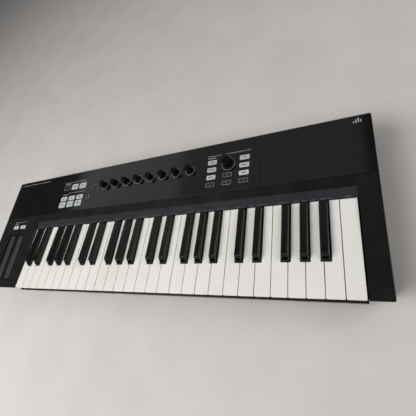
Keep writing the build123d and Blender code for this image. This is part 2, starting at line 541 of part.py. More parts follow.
skirt_z = WHITE_TOP - KEY_SKIRT
for index in range(WHITE_COUNT):
    (head_x0, head_x1), (tail_x0, tail_x1) = white_edges(index)
    with BuildPart() as white_key:
        upright(head_x0, head_x1, KEYS_Y0, KEYS_Y0 + HEAD_LENGTH, WHITE_TOP - KEY_PLATE, WHITE_TOP)
        upright(tail_x0, tail_x1, KEYS_Y0, KEYS_Y0 + KEY_LENGTH, WHITE_TOP - KEY_PLATE, WHITE_TOP)
        upright(head_x0, head_x1, KEYS_Y0, KEYS_Y0 + LIP_DEPTH, WHITE_TOP - LIP_HEIGHT,
                WHITE_TOP - KEY_PLATE / 2)
        fillet(white_key.edges().filter_by(Axis.Z).group_by(Axis.Y)[0], KEY_CORNER)
        fillet(white_key.faces().sort_by(Axis.Z)[-1].edges(), KEY_ROUND)
        skirt_y = KEYS_Y0 + LIP_DEPTH
        plate_z = WHITE_TOP - KEY_PLATE
        upright(head_x0, head_x1, skirt_y, KEYS_Y0 + HEAD_LENGTH, skirt_z, plate_z)
        upright(tail_x0, tail_x1, skirt_y, KEYS_Y0 + KEY_LENGTH, skirt_z, plate_z)
        # Hollow underside
        upright(head_x0 + KEY_WALL, head_x1 - KEY_WALL, skirt_y + KEY_WALL,
                KEYS_Y0 + HEAD_LENGTH - KEY_WALL, skirt_z, plate_z, Mode.SUBTRACT)
        upright(tail_x0 + KEY_WALL, tail_x1 - KEY_WALL, skirt_y + KEY_WALL,
                KEYS_Y0 + BLACK_LENGTH - TAIL_JOIN, skirt_z, plate_z, Mode.SUBTRACT)
        key_tail(tail_x0, tail_x1)
    save(white_key.part, f"white_key_{index + 1:02d}")

black_front, black_rear = KEYS_Y0 + BLACK_FRONT, KEYS_Y0 + BLACK_LENGTH
black_foot, black_top = BLACK_WIDTH / 2, BLACK_TOP_WIDTH / 2
for name in BLACK_OFFSETS:
    x = black_x(name, 0)
    with BuildPart() as black_key:
        # Cross-section with sloping sides, carried along the key
        with BuildSketch(Plane.XZ.offset(-black_rear)):
            with BuildLine():
                Polyline((x - black_foot, skirt_z), (x - black_foot, WHITE_TOP),
                         (x - black_top, WHITE_TOP + BLACK_RISE), (x + black_top, WHITE_TOP + BLACK_RISE),
                         (x + black_foot, WHITE_TOP), (x + black_foot, skirt_z), close=True)
            make_face()
        extrude(amount=BLACK_LENGTH - BLACK_FRONT)
        # Side profile: sloping front, top that falls a little to the rear
        across([(black_front, skirt_z), (black_front, WHITE_TOP),
                (black_front + BLACK_SLOPE, WHITE_TOP + BLACK_RISE),
                (black_rear, WHITE_TOP + BLACK_REAR_RISE), (black_rear, skirt_z)],
               x - black_foot, x + black_foot, Mode.INTERSECT)
        cap_edges = black_key.edges().filter_by(lambda e: e.center().Z > WHITE_TOP + 1)
        fillet(cap_edges, BLACK_ROUND)
        upright(x - black_foot + BLACK_WALL, x + black_foot - BLACK_WALL, black_front + BLACK_WALL,
                black_rear - TAIL_JOIN, skirt_z, WHITE_TOP + BLACK_HOLLOW, Mode.SUBTRACT)
        key_tail(x - black_foot, x + black_foot)
    # The same key in every octave
    with BuildPart() as black_key_group:
        with Locations(*[(octave * KEYS_PER_OCTAVE * PITCH, 0, 0) for octave in range(OCTAVES)]):
            add(black_key.part)
    save(black_key_group.part, f"black_keys_{name}")

# ---------------------------------------------------------------- knobs and board
def knob(x, v, radius, height, name):
    """Knob with its shaft, on the panel's normal at (x, v)."""
    with BuildPart() as turned:
        base = panel_top.offset(KNOB_LIFT)
        with BuildSketch(base):
            with Locations((x, v)):
                Circle(radius)
        extrude(amount=height - KNOB_LIFT)
        fillet(turned.faces().sort_by(Axis.Z)[-1].edges(), KNOB_ROUND)
        with BuildSketch(base):
            with Locations((x, v)):
                Circle(BUSHING_RADIUS + KNOB_WALL_GAP)
        extrude(amount=BUSHING_TOP - KNOB_LIFT + KNOB_WALL_GAP, mode=Mode.SUBTRACT)
        with BuildSketch(panel_top.offset(-BOARD_DEPTH + SHAFT_END)):
            with Locations((x, v)):
                Circle(SHAFT_RADIUS)
        extrude(amount=BOARD_DEPTH - SHAFT_END + BUSHING_TOP + 2 * KNOB_WALL_GAP)
    save(turned.part, name)


for number, (x, v, radius, height) in enumerate(knobs, 1):
    knob(x, v, radius, height, f"knob_{number}")
knob(*dial, "browse_dial")

with BuildPart() as circuit_boards:
    # Key contact board, with one rubber dome under each key
    upright(KEYS_X0, KEYS_X1, KEYS_Y0 + CONTACT_BACK, KEYS_Y0 + CONTACT_BACK + CONTACT_WIDTH,
            PLATE_Z, PLATE_Z + BOARD_THICK)
    dome_y = KEYS_Y0 + CONTACT_BACK + CONTACT_WIDTH / 2
    domes = [(KEYS_X0 + (index + 0.5) * PITCH, dome_y - DOME_STEP) for index in range(WHITE_COUNT)]
    domes += [(black_x(name, octave), dome_y + DOME_STEP)
              for name in BLACK_OFFSETS for octave in range(OCTAVES)]
    with Locations(*[(x, y, PLATE_Z + BOARD_THICK + SEAT_GAP) for x, y in domes]):
        Cone(DOME_RADIUS, DOME_RADIUS / 2, DOME_HEIGHT, align=STANDING)
    # Board of the knobs and buttons
    board_top = panel_top.offset(-BOARD_DEPTH)
    with BuildSketch(board_top):
        with Locations(((board_edges[0] + board_edges[1]) / 2, (board_edges[2] + board_edges[3]) / 2)):
            Rectangle(board_edges[1] - board_edges[0], board_edges[3] - board_edges[2])
    extrude(amount=-BOARD_THICK)
    encoder_seat = board_top.offset(SEAT_GAP)
    encoder_places = [(x, v) for x, v, radius, height in knobs + [dial]]
    with BuildSketch(encoder_seat):
        with Locations(*encoder_places):
            Rectangle(ENCODER_SIZE, ENCODER_SIZE)
    extrude(amount=ENCODER_HEIGHT - SEAT_GAP)
    with BuildSketch(encoder_seat):
        with Locations(*encoder_places):
            Circle(BUSHING_RADIUS)
    extrude(amount=BOARD_DEPTH + BUSHING_TOP - SEAT_GAP)
    with BuildSketch(board_top.offset(SHAFT_END - SHAFT_CLEARANCE)):
        with Locations(*encoder_places):
            Circle(SHAFT_RADIUS + SHAFT_CLEARANCE)
    extrude(amount=BOARD_DEPTH + BUSHING_TOP, mode=Mode.SUBTRACT)
    with BuildSketch(encoder_seat):
        with Locations(*[(x, v) for x, v, size in panel_buttons]):
            Rectangle(SWITCH_SIZE, min(SWITCH_SIZE, PRESET_SIZE[1]))
    extrude(amount=SWITCH_HEIGHT)
    # Small board of the octave buttons
    octave_board_top = octave_deck.offset(-OCTAVE_BOARD_DEPTH)
    with BuildSketch(octave_board_top):
        with Locations((octave_middle, 0)):
            Rectangle(2 * OCTAVE_HANGER + 4 * HANGER_RADIUS, OCTAVE_SIZE[1] + 4)
    extrude(amount=-BOARD_THICK)
    with BuildSketch(octave_board_top.offset(SEAT_GAP)):
        with Locations(*[(x, v) for x, v, size in octave_buttons]):
            Rectangle(SWITCH_SIZE, SWITCH_SIZE)
    extrude(amount=SWITCH_HEIGHT)
save(circuit_boards.part, "circuit_boards")


# ---------------------------------------------------------------- buttons
def span(buttons):
    """Rectangle around some buttons, with the mat's margin."""
    x0 = min(x - size[0] / 2 for x, v, size in buttons) - MAT_MARGIN
    x1 = max(x + size[0] / 2 for x, v, size in buttons) + MAT_MARGIN
    v0 = min(v - size[1] / 2 for x, v, size in buttons) - MAT_MARGIN
    v1 = max(v + size[1] / 2 for x, v, size in buttons) + MAT_MARGIN
    return x0, x1, v0, v1


def keypad(face, thickness, buttons, mats, name):
    """Buttons on one mat under a face: the face's plane, the wall's thickness, the mat's rectangles."""
    with BuildPart() as pad:
        with BuildSketch(face.offset(-thickness - MAT_GAP)):
            for x0, x1, v0, v1 in mats:
                with Locations(((x0 + x1) / 2, (v0 + v1) / 2)):
                    Rectangle(x1 - x0, v1 - v0)
        extrude(amount=-MAT_THICK)
        with BuildSketch(face.offset(-thickness - MAT_GAP - MAT_THICK / 2)):
            for x, v, (width, height) in buttons:
                with Locations((x, v)):
                    RectangleRounded(width, height, BUTTON_CORNER)
        extrude(amount=thickness + MAT_GAP + MAT_THICK / 2 + BUTTON_PROUD)
        top_level = face.offset(BUTTON_PROUD)
        cap_faces = pad.faces().filter_by(
            lambda f: f.normal_at().Z > 0.9 and abs(top_level.to_local_coords(f.center()).Z) < 0.01)
        fillet(cap_faces.edges(), BUTTON_ROUND)
    save(pad.part, name)


keypad(panel_top, PANEL_THICK, function_buttons, [span(function_buttons)], "function_keypad")
left_column, right_column = transport_buttons[:3], transport_buttons[3:]
bridge = (span(left_column)[1] - 1, span(right_column)[0] + 1,
          DIAL_V + ENCODER_SIZE / 2 + MAT_MARGIN, span(left_column)[3])
keypad(panel_top, PANEL_THICK, transport_buttons, [span(left_column), span(right_column), bridge],
       "transport_keypad")
keypad(panel_top, PANEL_THICK, navigation_buttons,
       [span(navigation_buttons[:3]), span([navigation_buttons[1], navigation_buttons[3]])],
       "navigation_keypad")
keypad(octave_deck, DECK_THICK, octave_buttons, [span(octave_buttons)], "octave_keypad")

# ---------------------------------------------------------------- touch strips
with BuildPart() as touch_strips:
    with BuildSketch(strip_deck.offset(-RECESS_DEPTH)):
        with Locations(*[(KEYS_X0 + x, 0) for x in STRIP_CENTRES]):
            RectangleRounded(STRIP_WIDTH, STRIP_LENGTH, BUTTON_CORNER)
    extrude(amount=RECESS_DEPTH - STRIP_SINK)
    fillet(touch_strips.faces().group_by(Axis.Z)[-1].edges(), BUTTON_ROUND)
save(touch_strips.part, "touch_strips")

# ---------------------------------------------------------------- rear sockets
SOCKET_FACE = Y_REAR - SOCKET_SINK
SOCKET_BACK = Y_REAR - WALL - SEAT_GAP


def socket_block(x, width, depth):
    """Body of a socket behind the rear wall."""
    upright(x - width / 2, x + width / 2, SOCKET_BACK - depth, SOCKET_BACK,
            SOCKET_Z - DIN_BODY / 2 + SEAT_GAP, SOCKET_Z + width / 2)


def rear_round(x, radius, depth, mode=Mode.ADD):
    """Cylinder along Y that starts at the sockets' faces and runs forwards."""
    with Locations(Location((x, SOCKET_FACE, SOCKET_Z), (90, 0, 0))):
        Cylinder(radius, depth, align=STANDING, mode=mode)


def rear_square(x, size, depth, mode=Mode.ADD):
    """Block that starts at the sockets' faces and runs forwards."""
    upright(x - size[0] / 2, x + size[0] / 2, SOCKET_FACE - depth, SOCKET_FACE,
            SOCKET_Z - size[1] / 2, SOCKET_Z + size[1] / 2, mode)


with BuildPart() as rear_sockets:
    for x in DIN_PLACES:
        socket_block(x, DIN_BODY, SOCKET_DEPTH)
        rear_round(x, DIN_RADIUS - SOCKET_CLEARANCE, SOCKET_DEPTH)
        rear_round(x, DIN_BORE, DIN_BORE_DEPTH, Mode.SUBTRACT)
        rear_round(x, DIN_BORE - DIN_RING, DIN_BORE_DEPTH - SEAT_GAP)
    for x in JACK_PLACES:
        socket_block(x, JACK_BODY, JACK_BORE_DEPTH + WALL)
        rear_round(x, JACK_RADIUS - SOCKET_CLEARANCE, SOCKET_DEPTH)
        rear_round(x, JACK_BORE, JACK_BORE_DEPTH, Mode.SUBTRACT)
    socket_block(USB_X, USB_BODY, SOCKET_DEPTH)
    usb_boss = (USB_SIZE[0] - 2 * SOCKET_CLEARANCE, USB_SIZE[1] - 2 * SOCKET_CLEARANCE)
    rear_square(USB_X, usb_boss, SOCKET_DEPTH)
    rear_square(USB_X, USB_BORE, USB_BORE_DEPTH, Mode.SUBTRACT)
    rear_square(USB_X, USB_TONGUE, USB_BORE_DEPTH - SEAT_GAP)
    socket_block(DC_X, DC_BODY, SOCKET_DEPTH)
    rear_round(DC_X, DC_RADIUS - SOCKET_CLEARANCE, SOCKET_DEPTH)
    rear_round(DC_X, DC_BORE, DC_BORE_DEPTH, Mode.SUBTRACT)
    rear_round(DC_X, DC_PIN, DC_BORE_DEPTH - SEAT_GAP)
    # Frame of the power switch, open to the rear, with holes for the rocker's pins
    frame_size = (SWITCH_OPENING[0] - 2 * SOCKET_CLEARANCE, SWITCH_OPENING[1] - 2 * SOCKET_CLEARANCE)
    well_size = (frame_size[0] - 2 * SWITCH_WALL, frame_size[1] - 2 * SWITCH_WALL)
    rocker_y = SOCKET_FACE - ROCKER_SINK - ROCKER_THICK / 2
    socket_block(SWITCH_X, SWITCH_OPENING[0] + 2, SWITCH_DEPTH)
    rear_square(SWITCH_X, frame_size, SWITCH_DEPTH)
    rear_square(SWITCH_X, well_size, SWITCH_DEPTH - 1, Mode.SUBTRACT)
    with Locations((SWITCH_X, rocker_y, SOCKET_Z)):
        Cylinder(PIN_RADIUS + PIN_CLEARANCE, well_size[1] + 2 * PIN_HOLE, mode=Mode.SUBTRACT)
    # Board that carries them, on four posts of the lower case
    upright(SOCKET_BOARD_X[0], SOCKET_BOARD_X[1], SOCKET_BACK - SOCKET_BOARD_WIDTH, SOCKET_BACK,
            SOCKET_Z - DIN_BODY / 2 - BOARD_THICK, SOCKET_Z - DIN_BODY / 2)
save(rear_sockets.part, "rear_sockets")

with BuildPart() as power_switch:
    upright_plane = Plane(origin=(SWITCH_X, rocker_y, SOCKET_Z), z_dir=(0, 0, 1))
    rocker_plane = upright_plane.rotated((0, 0, ROCKER_TILT))
    rocker_length = well_size[0] - 2 * ROCKER_GAP
    rocker_height = well_size[1] - 2 * SWITCH_GAP
    with BuildSketch(rocker_plane.offset(-rocker_height / 2)):
        Rectangle(rocker_length, ROCKER_THICK)
    extrude(amount=rocker_height)
    fillet(power_switch.edges().filter_by(Axis.Z), ROCKER_ROUND)
    # Pins above and below, on the axis
    with Locations((SWITCH_X, rocker_y, SOCKET_Z)):
        Cylinder(PIN_RADIUS, well_size[1] + 2 * PIN_REACH)
save(power_switch.part, "power_switch")

# ---------------------------------------------------------------- feet and screws
with BuildPart() as rubber_feet:
    with Locations(*[(x, y, 0) for x, y in foot_places]):
        Cylinder(FOOT_RADIUS, FOOT_HEIGHT, align=STANDING)
    chamfer(rubber_feet.faces().group_by(Axis.Z)[0].edges(), EDGE)
save(rubber_feet.part, "rubber_feet")

with BuildPart() as case_screws:
    head_z = FOOT_HEIGHT + SCREW_CLEARANCE
    with Locations(*[(x, y, head_z) for x, y in screw_places]):
        Cylinder(SCREW_HEAD_RADIUS, SCREW_HEAD, align=STANDING)
        Cylinder(SCREW_RADIUS - SCREW_FIT, SCREW_LENGTH, align=STANDING)
    with BuildSketch(Plane.XY.offset(head_z)):
        with Locations(*screw_places):
            Rectangle(SCREW_SLOT[0], SCREW_SLOT[1])
            Rectangle(SCREW_SLOT[1], SCREW_SLOT[0])
    extrude(amount=SCREW_HEAD / 2, mode=Mode.SUBTRACT)
save(case_screws.part, "case_screws")
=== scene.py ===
"""Looks of a 49-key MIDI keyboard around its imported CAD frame. Metres, +Z up, +Y to the rear."""
import json
from math import cos, pi, radians, sin

import bpy
from mathutils import Matrix, Vector


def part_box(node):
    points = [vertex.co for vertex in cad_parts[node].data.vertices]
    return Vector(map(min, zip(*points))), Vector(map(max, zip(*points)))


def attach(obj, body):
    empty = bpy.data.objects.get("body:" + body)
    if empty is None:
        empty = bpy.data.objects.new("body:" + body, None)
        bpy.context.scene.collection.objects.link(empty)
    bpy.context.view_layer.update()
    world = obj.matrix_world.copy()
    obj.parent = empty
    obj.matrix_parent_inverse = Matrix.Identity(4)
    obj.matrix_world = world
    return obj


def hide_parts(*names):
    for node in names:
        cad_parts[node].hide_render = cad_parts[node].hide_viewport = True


MM = 0.001
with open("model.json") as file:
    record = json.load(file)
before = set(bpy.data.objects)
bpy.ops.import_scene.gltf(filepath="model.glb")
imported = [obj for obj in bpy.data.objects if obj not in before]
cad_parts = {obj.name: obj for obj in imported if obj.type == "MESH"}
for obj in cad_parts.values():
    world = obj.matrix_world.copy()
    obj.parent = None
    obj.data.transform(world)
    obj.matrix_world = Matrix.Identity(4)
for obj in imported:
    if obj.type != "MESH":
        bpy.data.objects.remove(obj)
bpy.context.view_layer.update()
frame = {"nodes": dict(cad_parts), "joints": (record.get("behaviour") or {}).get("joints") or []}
joints = {joint["name"]: joint for joint in frame["joints"]}

# ------------------------------------------------------------------ layout, in millimetres
# X runs from the left end of the keyboard, V back from the panel's front edge.
KNOB_COUNT, KNOB_X, KNOB_PITCH, KNOB_V, KNOB_RADIUS = 8, 193.0, 30.6, 52.3, 7.75
DIAL_X, DIAL_V, DIAL_RADIUS = 484.6, 53.3, 10.5
CAP_HEIGHT = 12.0            # knob and dial caps above the panel
KNOB_WAIST, DIAL_WAIST = 1.3, 1.8       # grip narrower than the skirt
LEFT_COLUMNS = (71.5, 97.0, 122.5)
RIGHT_COLUMNS = (453.2, DIAL_X, 514.8)
RIGHT_ROWS = tuple(14.8 + 15.25 * row for row in range(4))
MODE_V, RECORD_V, PLAY_V = 61.8, 32.9, 17.7
MODE_SIZE, RIGHT_SIZE, PAGE_SIZE, PRESET_SIZE = (20.2, 13.6), (17.6, 8.6), (10.5, 9.5), (10.0, 5.0)
PAGES = ((160.0, 53.2), (174.8, 53.2))
PRESET = (150.5, 25.5)
OCTAVES = ((-77.05, 0.0), (-50.55, 0.0))
BUTTON_PROUD = 1.2           # buttons above the panel or the deck
DECK_THICK, MAT_GAP, MAT_THICK = 3.0, 0.2, 1.2
KEY_GAP = 1.0
PITCH = 23.5                 # spacing of the white keys
WHITE_COUNT, OCTAVE_COUNT, KEYS_PER_OCTAVE = 29, 4, 7
GUIDE_THICK = 2.0
PRINT = 0.08                 # height of a printed mark
# Rear sockets: X from the case's middle
JACKS, DINS, USB_X, DC_X = (175.0, 200.0), (250.0, 285.0), 318.0, 345.0


# ------------------------------------------------------------------ places
class Face:
    """A flat face of the object: at(x, v, lift) gives the point in metres for millimetres on it."""

    def __init__(self, origin, normal):
        self.origin = Vector(origin)
        self.normal = Vector(normal).normalized()
        self.right = Vector((1, 0, 0))
        self.back = self.normal.cross(self.right)

    def at(self, x, v, lift=0.0):
        return self.origin + (self.right * x + self.back * v + self.normal * lift) * MM


key_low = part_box("white_key_01")[0]
keys_x0 = key_low[0] - KEY_GAP / 2 * MM
panel_normal = Vector(joints["knob_1_turn"]["axis"]).normalized()
knob_base = Vector(joints["knob_1_turn"]["pos_m"])
panel = Face((0, 0, 0), panel_normal)
panel.origin = knob_base - (panel.at(KNOB_X, KNOB_V) - panel.origin)
octave_low, octave_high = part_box("octave_keypad")
octave_deck = Face((keys_x0, (octave_low[1] + octave_high[1]) / 2, 0), panel_normal)
octave_middle = Vector((0, octave_deck.origin.y, (octave_low[2] + octave_high[2]) / 2))
octave_half = (DECK_THICK + MAT_GAP + MAT_THICK + BUTTON_PROUD) / 2      # half the height of that keypad
octave_rise = panel_normal * (octave_half - BUTTON_PROUD) * MM
octave_deck.origin = Vector((keys_x0, 0, 0)) + octave_middle + octave_rise
guide_low, guide_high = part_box("light_guide")
guide_front = Vector((keys_x0, guide_low[1], guide_low[2] + GUIDE_THICK * MM))
guide_run = Vector((0, guide_high[1] - guide_low[1], guide_high[2] - guide_front.z))
guide = Face(guide_front, Vector((0, -guide_run.z, guide_run.y)))


# ------------------------------------------------------------------ materials
def nodes_of(name):
    material = bpy.data.materials.new(name)
    material.use_nodes = True
    tree = material.node_tree
    return material, tree, tree.nodes["Principled BSDF"]


def noise(tree, scale, detail=3.0, stretch=(1, 1, 1)):
    """Noise in the object's own metres, stretched along an axis where wanted."""
    place = tree.nodes.new("ShaderNodeTexCoord")
    mapping = tree.nodes.new("ShaderNodeMapping")
    mapping.inputs["Scale"].default_value = stretch
    texture = tree.nodes.new("ShaderNodeTexNoise")
    texture.inputs["Scale"].default_value = scale
    texture.inputs["Detail"].default_value = detail
    tree.links.new(place.outputs["Object"], mapping.inputs["Vector"])
    tree.links.new(mapping.outputs["Vector"], texture.inputs["Vector"])
    return texture.outputs["Fac"]


def span(tree, value, low, high, start=0.35, end=0.65):
    """A texture's value spread from low to high."""
    node = tree.nodes.new("ShaderNodeMapRange")
    node.inputs["From Min"].default_value = start
    node.inputs["From Max"].default_value = end
    node.inputs["To Min"].default_value = low
    node.inputs["To Max"].default_value = high
    tree.links.new(value, node.inputs["Value"])
    return node.outputs["Result"]


def blend(tree, value, dark, light):
    node = tree.nodes.new("ShaderNodeMix")
    node.data_type = "RGBA"
    node.inputs["A"].default_value = (*dark, 1)
    node.inputs["B"].default_value = (*light, 1)
    tree.links.new(value, node.inputs["Factor"])
    return node.outputs["Result"]


def bumped(tree, heights):
    """Normals from (texture value, depth in metres) pairs, finest last."""
    normal = None
    for value, depth in heights:
        bump = tree.nodes.new("ShaderNodeBump")
        bump.inputs["Strength"].default_value = 1.0
        bump.inputs["Distance"].default_value = depth
        tree.links.new(value, bump.inputs["Height"])
        if normal:
            tree.links.new(normal, bump.inputs["Normal"])
        normal = bump.outputs["Normal"]
    return normal


def plastic(name, dark, light, rough, grain, grain_depth, stretch=(1, 1, 1), coat=0.0, specular=0.5):
    """Moulded plastic: slow colour drift, uneven gloss from handling, and a fine moulded grain."""
    material, tree, shader = nodes_of(name)
    drift = noise(tree, 9.0, 4.0)
    handling = noise(tree, 38.0, 5.0)
    fine = noise(tree, grain, 2.0, stretch)
    tree.links.new(blend(tree, span(tree, drift, 0, 1), dark, light), shader.inputs["Base Color"])
    tree.links.new(span(tree, handling, rough[0], rough[1]), shader.inputs["Roughness"])
    tree.links.new(bumped(tree, [(fine, grain_depth)]), shader.inputs["Normal"])
    shader.inputs["Coat Weight"].default_value = coat
    shader.inputs["Coat Roughness"].default_value = 0.12
    shader.inputs["Specular IOR Level"].default_value = specular
    return material


def grey(level, warm=0.0):
    """A neutral colour, a little warmer or cooler."""
    return (level * (1 + warm), level, level * (1 - warm))


case_plastic = plastic("case_plastic", grey(0.0035), grey(0.0055), (0.26, 0.34), 2600.0, 0.000010)
panel_plastic = plastic("panel_plastic", grey(0.003), grey(0.0045), (0.08, 0.12), 3400.0, 0.000002)
guide_plastic = plastic("guide_plastic", (0.021, 0.022, 0.024), (0.027, 0.029, 0.032), (0.22, 0.3), 1800.0,
                        0.000006)
white_plastic = plastic("white_plastic", (0.76, 0.745, 0.70), (0.82, 0.81, 0.775), (0.30, 0.42), 1500.0,
                        0.000006, coat=0.15)
black_plastic = plastic("black_plastic", grey(0.0025), grey(0.004), (0.18, 0.25), 2200.0, 0.000005,
                        stretch=(1, 0.15, 1), specular=0.38)
knob_plastic = plastic("knob_plastic", grey(0.0018), grey(0.0028), (0.34, 0.46), 2600.0, 0.000008,
                       specular=0.12)
button_silicone = plastic("button_silicone", (0.42, 0.45, 0.435), (0.50, 0.53, 0.515), (0.45, 0.58), 2400.0,
                          0.000008)
dark_silicone = plastic("dark_silicone", grey(0.006), grey(0.009), (0.38, 0.5), 2400.0, 0.000008)
strip_plastic = plastic("strip_plastic", grey(0.030), grey(0.038), (0.24, 0.32), 2600.0, 0.000006,
                        stretch=(1, 0.2, 1))
print_ink = plastic("print_ink", grey(0.19), grey(0.25), (0.5, 0.6), 3000.0, 0.000004)
print_bright = plastic("print_bright", grey(0.34), grey(0.42), (0.5, 0.6), 3000.0, 0.000004)
line_ink = plastic("line_ink", grey(0.42), grey(0.50), (0.5, 0.6), 3000.0, 0.000004)
icon_ink = plastic("icon_ink", grey(0.05), grey(0.09), (0.5, 0.6), 3000.0, 0.000004)
ring_plastic = plastic("ring_plastic", grey(0.24), grey(0.32), (0.3, 0.4), 3000.0, 0.000004)
led_window = plastic("led_window", (0.048, 0.058, 0.082), (0.062, 0.076, 0.106), (0.2, 0.3), 3000.0,
                     0.000002)
# Near-black and dull, for the sheet on the touch strips' recess floor: painted shade
painted_recess_shade = plastic("painted_recess_shade", grey(0.0018), grey(0.0028), (0.5, 0.6), 2600.0, 0.00001,
                       specular=0.15)
seam_shadow = plastic("seam_shadow", (0.004, 0.005, 0.007), (0.006, 0.007, 0.009), (0.4, 0.5), 3000.0,
                      0.000002)
rubber = plastic("rubber", grey(0.012), grey(0.02), (0.6, 0.75), 1500.0, 0.00003)
chassis_plastic = plastic("chassis_plastic", grey(0.05), grey(0.08), (0.5, 0.6), 1500.0, 0.00002)
circuit = plastic("circuit", (0.010, 0.06, 0.025), (0.014, 0.08, 0.035), (0.3, 0.4), 1500.0, 0.00001)


def metal(name, colour, rough, stretch):
    """Plated or drawn metal with fine scratches along it."""
    material, tree, shader = nodes_of(name)
    scratches = noise(tree, 900.0, 4.0, stretch)
    shader.inputs["Metallic"].default_value = 1.0
    tone = tuple(0.85 * channel for channel in colour)
    tree.links.new(blend(tree, span(tree, scratches, 0, 1), tone, colour), shader.inputs["Base Color"])
    tree.links.new(span(tree, scratches, rough[0], rough[1]), shader.inputs["Roughness"])
    tree.links.new(bumped(tree, [(scratches, 0.000004)]), shader.inputs["Normal"])
    return material


RIGHT_EDGE_GAP = 3.0         # from the pale buttons to where the dark ones begin
steel = metal("steel", (0.55, 0.55, 0.56), (0.25, 0.4), (0.1, 1, 1))
nickel = metal("nickel", (0.62, 0.60, 0.57), (0.18, 0.3), (1, 1, 1))


def beyond(tree, output, edge, above):
    """1 where a coordinate is past an edge, else 0."""
    node = tree.nodes.new("ShaderNodeMath")
    node.operation = "GREATER_THAN" if above else "LESS_THAN"
    node.inputs[1].default_value = edge
    tree.links.new(output, node.inputs[0])
    return node.outputs["Value"]


def combine(tree, operation, first, second):
    node = tree.nodes.new("ShaderNodeMath")
    node.operation = operation
    tree.links.new(first, node.inputs[0])
    tree.links.new(second, node.inputs[1])
    return node.outputs["Value"]


def dark_buttons(tree):
    """1 on the function block's dark buttons: the one at its left top and those at its right."""
    place = tree.nodes.new("ShaderNodeTexCoord")
    split = tree.nodes.new("ShaderNodeSeparateXYZ")
    tree.links.new(place.outputs["Object"], split.inputs["Vector"])
    shift_edge = panel.at((LEFT_COLUMNS[0] + LEFT_COLUMNS[1]) / 2, (MODE_V + RECORD_V) / 2)
    right_edge = panel.at(LEFT_COLUMNS[2] + MODE_SIZE[0] / 2 + RIGHT_EDGE_GAP, 0)
    shift = combine(tree, "MULTIPLY", beyond(tree, split.outputs["X"], shift_edge.x, False),
                    beyond(tree, split.outputs["Y"], shift_edge.y, True))
    return combine(tree, "MAXIMUM", shift, beyond(tree, split.outputs["X"], right_edge.x, True))


def function_silicone():
    """The function block's mat, with pale and dark buttons."""
    material, tree, shader = nodes_of("function_silicone")
    fine = noise(tree, 2400.0, 2.0)
    pale = blend(tree, span(tree, noise(tree, 30.0), 0, 1), (0.42, 0.45, 0.435), (0.50, 0.53, 0.515))
    mix = tree.nodes.new("ShaderNodeMix")
    mix.data_type = "RGBA"
    mix.inputs["B"].default_value = (*grey(0.008), 1)
    tree.links.new(dark_buttons(tree), mix.inputs["Factor"])
    tree.links.new(pale, mix.inputs["A"])
    tree.links.new(mix.outputs["Result"], shader.inputs["Base Color"])
    tree.links.new(span(tree, noise(tree, 38.0), 0.42, 0.56), shader.inputs["Roughness"])
    tree.links.new(bumped(tree, [(fine, 0.000008)]), shader.inputs["Normal"])
    return material


def dress(node, material):
    slots = frame["nodes"][node].data.materials
    slots.clear()
    slots.append(material)


looks = {"bottom_case": case_plastic, "top_case": case_plastic, "end_cheeks": case_plastic,
         "control_panel": panel_plastic,
         "light_guide": guide_plastic, "key_chassis": chassis_plastic, "pivot_rod": steel,
         "circuit_boards": circuit, "touch_strips": strip_plastic,
         "rear_sockets": dark_silicone, "rubber_feet": rubber, "case_screws": steel,
         "power_switch": knob_plastic, "function_keypad": function_silicone(),
         "transport_keypad": button_silicone, "navigation_keypad": dark_silicone,
         "octave_keypad": button_silicone}
for node in frame["nodes"]:
    if node.startswith("white_key"):
        dress(node, white_plastic)
    elif node.startswith("black_keys"):
        dress(node, black_plastic)
    elif node in looks:
        dress(node, looks[node])


# ------------------------------------------------------------------ pieces
def piece(name, verts, faces, material, body, smooth=False):
    mesh = bpy.data.meshes.new(name)
    mesh.from_pydata([tuple(v) for v in verts], [], faces)
    mesh.validate()
    mesh.update()
    obj = bpy.data.objects.new(name, mesh)
    bpy.context.scene.collection.objects.link(obj)
    mesh.materials.append(material)
    if smooth:
        mesh.shade_smooth()
    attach(obj, body)
    return obj


def bar(x, v, width, height):
    """Outline of a plain rectangle."""
    return [(x - width / 2, v - height / 2), (x + width / 2, v - height / 2),
            (x + width / 2, v + height / 2), (x - width / 2, v + height / 2)]


def rounded(x, v, width, height, radius, steps=5):
    """Outline of a rectangle with round corners."""
    points = []
    for corner, (sx, sv) in enumerate(((1, -1), (1, 1), (-1, 1), (-1, -1))):
        cx, cv = x + sx * (width / 2 - radius), v + sv * (height / 2 - radius)
        for step in range(steps + 1):
            turn = radians(-90 + 90 * corner + 90 * step / steps)
            points.append((cx + radius * cos(turn), cv + radius * sin(turn)))
    return points


def disc(x, v, radius, steps=40, start=0.0):
    return [(x + radius * cos(2 * pi * i / steps + start), v + radius * sin(2 * pi * i / steps + start))
            for i in range(steps)]


def arrow(x, v, size, turn):
    """Triangle that points along turn, in degrees."""
    return disc(x, v, size, 3, radians(turn))


def raised(face, outlines, rings, lift, height):
    """Solid low marks on a face: filled outlines, and rings as (outer, inner) outlines."""
    verts, faces = [], []
    for outline in outlines:
        first, count = len(verts), len(outline)
        for level in (lift, lift + height):
            verts += [face.at(x, v, level) for x, v in outline]
        faces.append(tuple(range(first + count, first + 2 * count)))
        faces.append(tuple(reversed(range(first, first + count))))
        for i in range(count):
            j = (i + 1) % count
            faces.append((first + i, first + j, first + count + j, first + count + i))
    for outer, inner in rings:
        first, count = len(verts), len(outer)
        for outline in (outer, inner):
            for level in (lift, lift + height):
                verts += [face.at(x, v, level) for x, v in outline]
        low_out, high_out, low_in, high_in = (first + k * count for k in range(4))
        for i in range(count):
            j = (i + 1) % count
            faces.append((low_out + i, low_out + j, high_out + j, high_out + i))
            faces.append((low_in + j, low_in + i, high_in + i, high_in + j))
            faces.append((high_out + i, high_out + j, high_in + j, high_in + i))
            faces.append((low_out + j, low_out + i, low_in + i, low_in + j))
    return verts, faces


